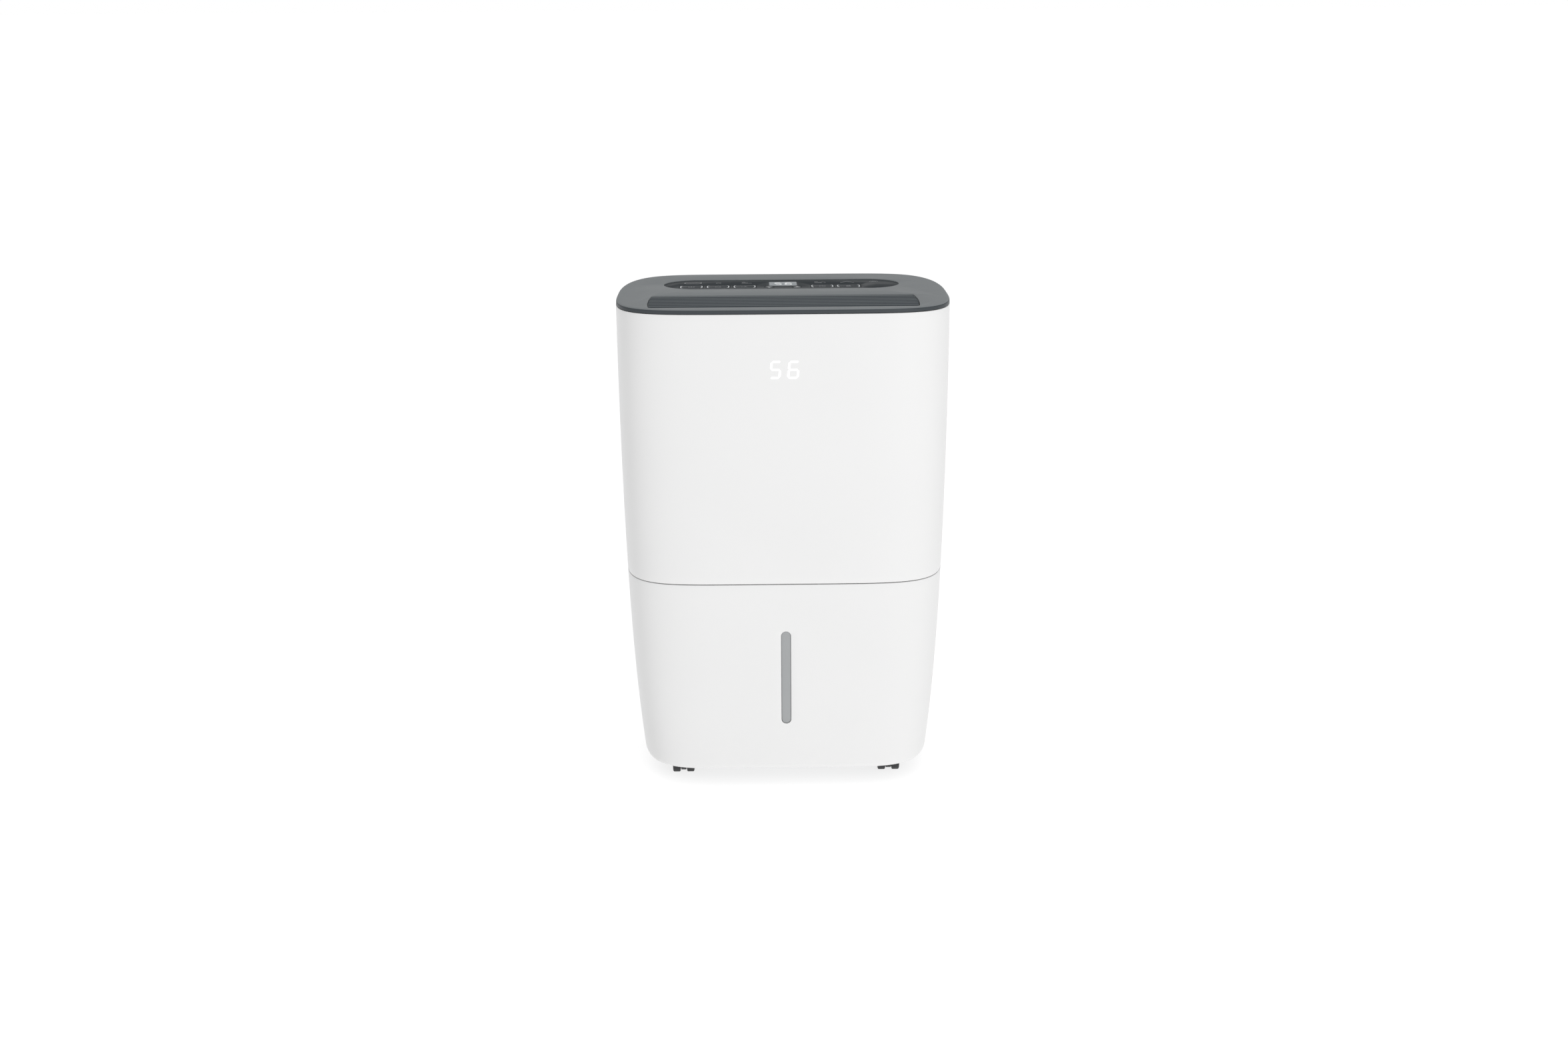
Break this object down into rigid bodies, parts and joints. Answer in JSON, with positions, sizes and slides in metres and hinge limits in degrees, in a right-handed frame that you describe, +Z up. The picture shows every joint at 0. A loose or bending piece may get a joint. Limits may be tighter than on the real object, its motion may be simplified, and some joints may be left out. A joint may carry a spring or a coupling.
{
  "type": "dehumidifier",
  "caption": "Upright portable dehumidifier with soft-cornered body, top louvre and control panel, pull-out water tank low in the front, rear air filter cassette and twin-wheel casters.",
  "frame": {"origin": "on the floor under the centre of the body's outline", "axes": "+Z up, the front with the water tank faces -Y, +X to the right of a person looking at the front"},
  "size_m": [0.3495, 0.26, 0.516],
  "materials": {
    "white_housing": "satin",
    "grey_top": "fine satin",
    "dark_trim": "satin",
    "panel_gloss": "gloss",
    "key_gloss": "gloss",
    "display_smoke": "gloss",
    "circuit_board": "satin",
    "black_plastic": "satin",
    "inner_white": "satin",
    "inner_grey": "satin",
    "coil_aluminium": "rolled",
    "shell_black": "semi-gloss",
    "copper": "drawn copper",
    "steel": "zinc plated",
    "rubber_foot": "matte",
    "wheel_tread": "matte",
    "grille_white": "satin",
    "filter_fabric": "woven mesh",
    "window_grey": "gloss",
    "tank_plastic": "translucent grey",
    "float_foam": "foam"
  },
  "bodies": {
    "cabinet": {"front_cover": "white_housing", "rear_cover": "white_housing", "base_pan": "dark_trim", "top_cover": "grey_top", "outlet_grille": "dark_trim", "control_panel": "panel_gloss", "display_window": "display_smoke", "control_board": "circuit_board", "front_display_module": "black_plastic", "partition": "inner_white", "drip_tray": "inner_grey", "evaporator_coil": "coil_aluminium", "condenser_coil": "coil_aluminium", "compressor": "shell_black", "compressor_foot_1": "rubber_foot", "compressor_foot_2": "rubber_foot", "compressor_foot_3": "rubber_foot", "accumulator": "shell_black", "suction_pipe": "copper", "discharge_pipe": "copper", "filter_drier": "copper", "capillary_tube": "copper", "fan_scroll": "inner_white", "motor_bracket": "steel", "fan_motor": "steel", "control_box": "black_plastic", "run_capacitor": "inner_white", "humidity_sensor": "inner_white", "bucket_switch": "black_plastic", "cord_gland": "black_plastic"},
    "blower": {"motor_shaft": "steel", "blower_wheel": "black_plastic"},
    "filter_cassette": {"rear_grille": "grille_white", "filter_mesh": "filter_fabric"},
    "drain_plug": {"drain_cap": "dark_trim"},
    "bucket": {"tank_body": "tank_plastic", "tank_front": "white_housing", "tank_window": "window_grey", "tank_cover": "inner_grey"},
    "bucket_bail": {"tank_handle": "inner_grey"},
    "level_float": {"tank_float": "float_foam"},
    "press_key_power": {"key_power": "key_gloss"},
    "press_key_mode": {"key_mode": "key_gloss"},
    "press_key_fan": {"key_fan": "key_gloss"},
    "press_key_timer": {"key_timer": "key_gloss"},
    "press_key_lock": {"key_lock": "key_gloss"},
    "press_key_down": {"key_down": "key_gloss"},
    "press_key_up": {"key_up": "key_gloss"},
    "caster_fl": {"caster_hood_fl": "black_plastic"},
    "wheels_fl": {"caster_wheel_fl": "wheel_tread"},
    "caster_fr": {"caster_hood_fr": "black_plastic"},
    "wheels_fr": {"caster_wheel_fr": "wheel_tread"},
    "caster_rl": {"caster_hood_rl": "black_plastic"},
    "wheels_rl": {"caster_wheel_rl": "wheel_tread"},
    "caster_rr": {"caster_hood_rr": "black_plastic"},
    "wheels_rr": {"caster_wheel_rr": "wheel_tread"}
  },
  "joints": [
    {"name": "air_filter_pull", "type": "slide", "parent": "cabinet", "child": "filter_cassette", "axis": [0, 1, 0], "range_m": [0, 0.05]},
    {"name": "blower_spin", "type": "hinge", "parent": "cabinet", "child": "blower", "pos_m": [0, -0.05, 0.368], "axis": [0, 1, 0], "continuous": true},
    {"name": "bucket_float_rise", "type": "slide", "parent": "bucket", "child": "level_float", "axis": [0, 0, 1], "range_m": [0, 0.025]},
    {"name": "bucket_handle_lift", "type": "hinge", "parent": "bucket", "child": "bucket_bail", "pos_m": [0, -0.05, 0.208], "axis": [-1, 0, 0], "range_deg": [0, 90]},
    {"name": "bucket_slide", "type": "slide", "parent": "cabinet", "child": "bucket", "axis": [0, -1, 0], "range_m": [0, 0.18]},
    {"name": "drain_cap_pull", "type": "slide", "parent": "cabinet", "child": "drain_plug", "axis": [0, 1, 0], "range_m": [0, 0.015]},
    {"name": "push_key_power", "type": "slide", "parent": "cabinet", "child": "press_key_power", "axis": [0, 0, -1], "range_m": [0, 0.0005], "stiffness_N_per_m": 400},
    {"name": "push_key_mode", "type": "slide", "parent": "cabinet", "child": "press_key_mode", "axis": [0, 0, -1], "range_m": [0, 0.0005], "stiffness_N_per_m": 400},
    {"name": "push_key_fan", "type": "slide", "parent": "cabinet", "child": "press_key_fan", "axis": [0, 0, -1], "range_m": [0, 0.0005], "stiffness_N_per_m": 400},
    {"name": "push_key_timer", "type": "slide", "parent": "cabinet", "child": "press_key_timer", "axis": [0, 0, -1], "range_m": [0, 0.0005], "stiffness_N_per_m": 400},
    {"name": "push_key_lock", "type": "slide", "parent": "cabinet", "child": "press_key_lock", "axis": [0, 0, -1], "range_m": [0, 0.0005], "stiffness_N_per_m": 400},
    {"name": "push_key_down", "type": "slide", "parent": "cabinet", "child": "press_key_down", "axis": [0, 0, -1], "range_m": [0, 0.0005], "stiffness_N_per_m": 400},
    {"name": "push_key_up", "type": "slide", "parent": "cabinet", "child": "press_key_up", "axis": [0, 0, -1], "range_m": [0, 0.0005], "stiffness_N_per_m": 400},
    {"name": "swivel_fl", "type": "hinge", "parent": "cabinet", "child": "caster_fl", "pos_m": [-0.112, -0.077, 0.03], "axis": [0, 0, 1], "continuous": true},
    {"name": "swivel_fr", "type": "hinge", "parent": "cabinet", "child": "caster_fr", "pos_m": [0.112, -0.077, 0.03], "axis": [0, 0, 1], "continuous": true},
    {"name": "swivel_rl", "type": "hinge", "parent": "cabinet", "child": "caster_rl", "pos_m": [-0.112, 0.08, 0.03], "axis": [0, 0, 1], "continuous": true},
    {"name": "swivel_rr", "type": "hinge", "parent": "cabinet", "child": "caster_rr", "pos_m": [0.112, 0.08, 0.03], "axis": [0, 0, 1], "continuous": true},
    {"name": "wheel_fl", "type": "hinge", "parent": "caster_fl", "child": "wheels_fl", "pos_m": [-0.112, -0.084, 0.012], "axis": [1, 0, 0], "continuous": true},
    {"name": "wheel_fr", "type": "hinge", "parent": "caster_fr", "child": "wheels_fr", "pos_m": [0.112, -0.084, 0.012], "axis": [1, 0, 0], "continuous": true},
    {"name": "wheel_rl", "type": "hinge", "parent": "caster_rl", "child": "wheels_rl", "pos_m": [-0.112, 0.087, 0.012], "axis": [1, 0, 0], "continuous": true},
    {"name": "wheel_rr", "type": "hinge", "parent": "caster_rr", "child": "wheels_rr", "pos_m": [0.112, 0.087, 0.012], "axis": [1, 0, 0], "continuous": true}
  ]
}
